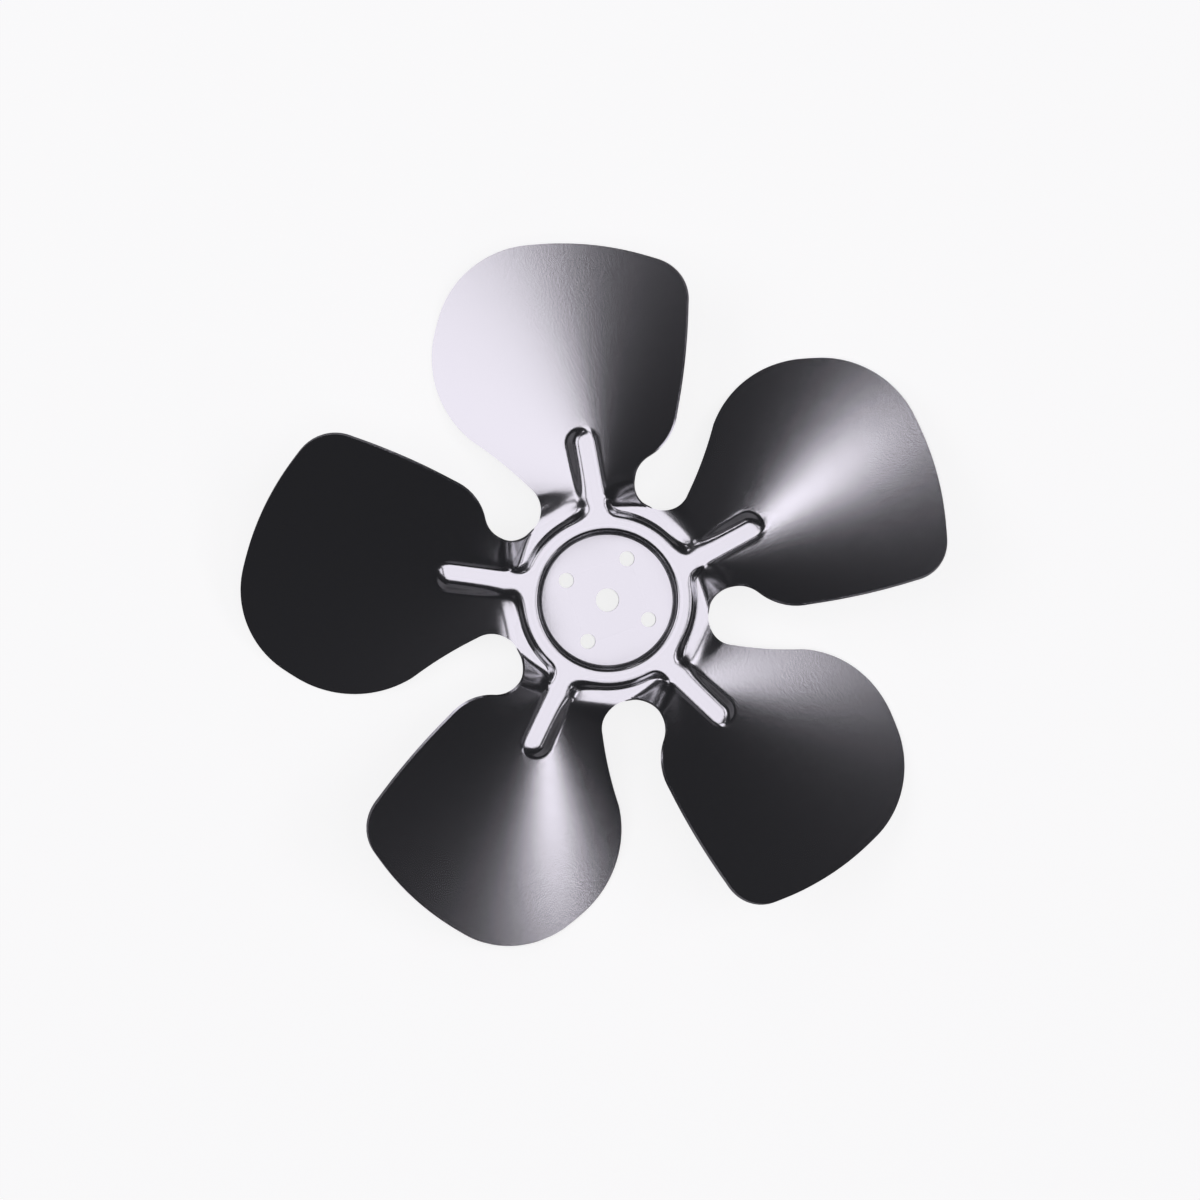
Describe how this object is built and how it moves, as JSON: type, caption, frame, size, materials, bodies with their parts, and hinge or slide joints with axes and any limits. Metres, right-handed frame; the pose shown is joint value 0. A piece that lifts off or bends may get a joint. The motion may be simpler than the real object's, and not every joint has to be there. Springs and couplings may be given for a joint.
{
  "type": "fan blade",
  "caption": "Axial fan blade pressed from one aluminium sheet: a recessed hub disc with a central bore and bolt holes, a raised ring with radial ribs, and pitched, hollowed blades.",
  "frame": {"origin": "centre of the shaft bore on the rear face of the hub disc", "axes": "+Z along the fan's axis towards the raised side of the ring and ribs; +X and +Y to the right and up as the fan is seen from that side with its first rib just left of the top"},
  "size_m": [0.1911, 0.1928, 0.0356],
  "materials": {
    "aluminium_sheet": "bright mill finish with a fine rolled grain"
  },
  "bodies": {
    "root": {"fan_blade": "aluminium_sheet"}
  },
  "joints": []
}
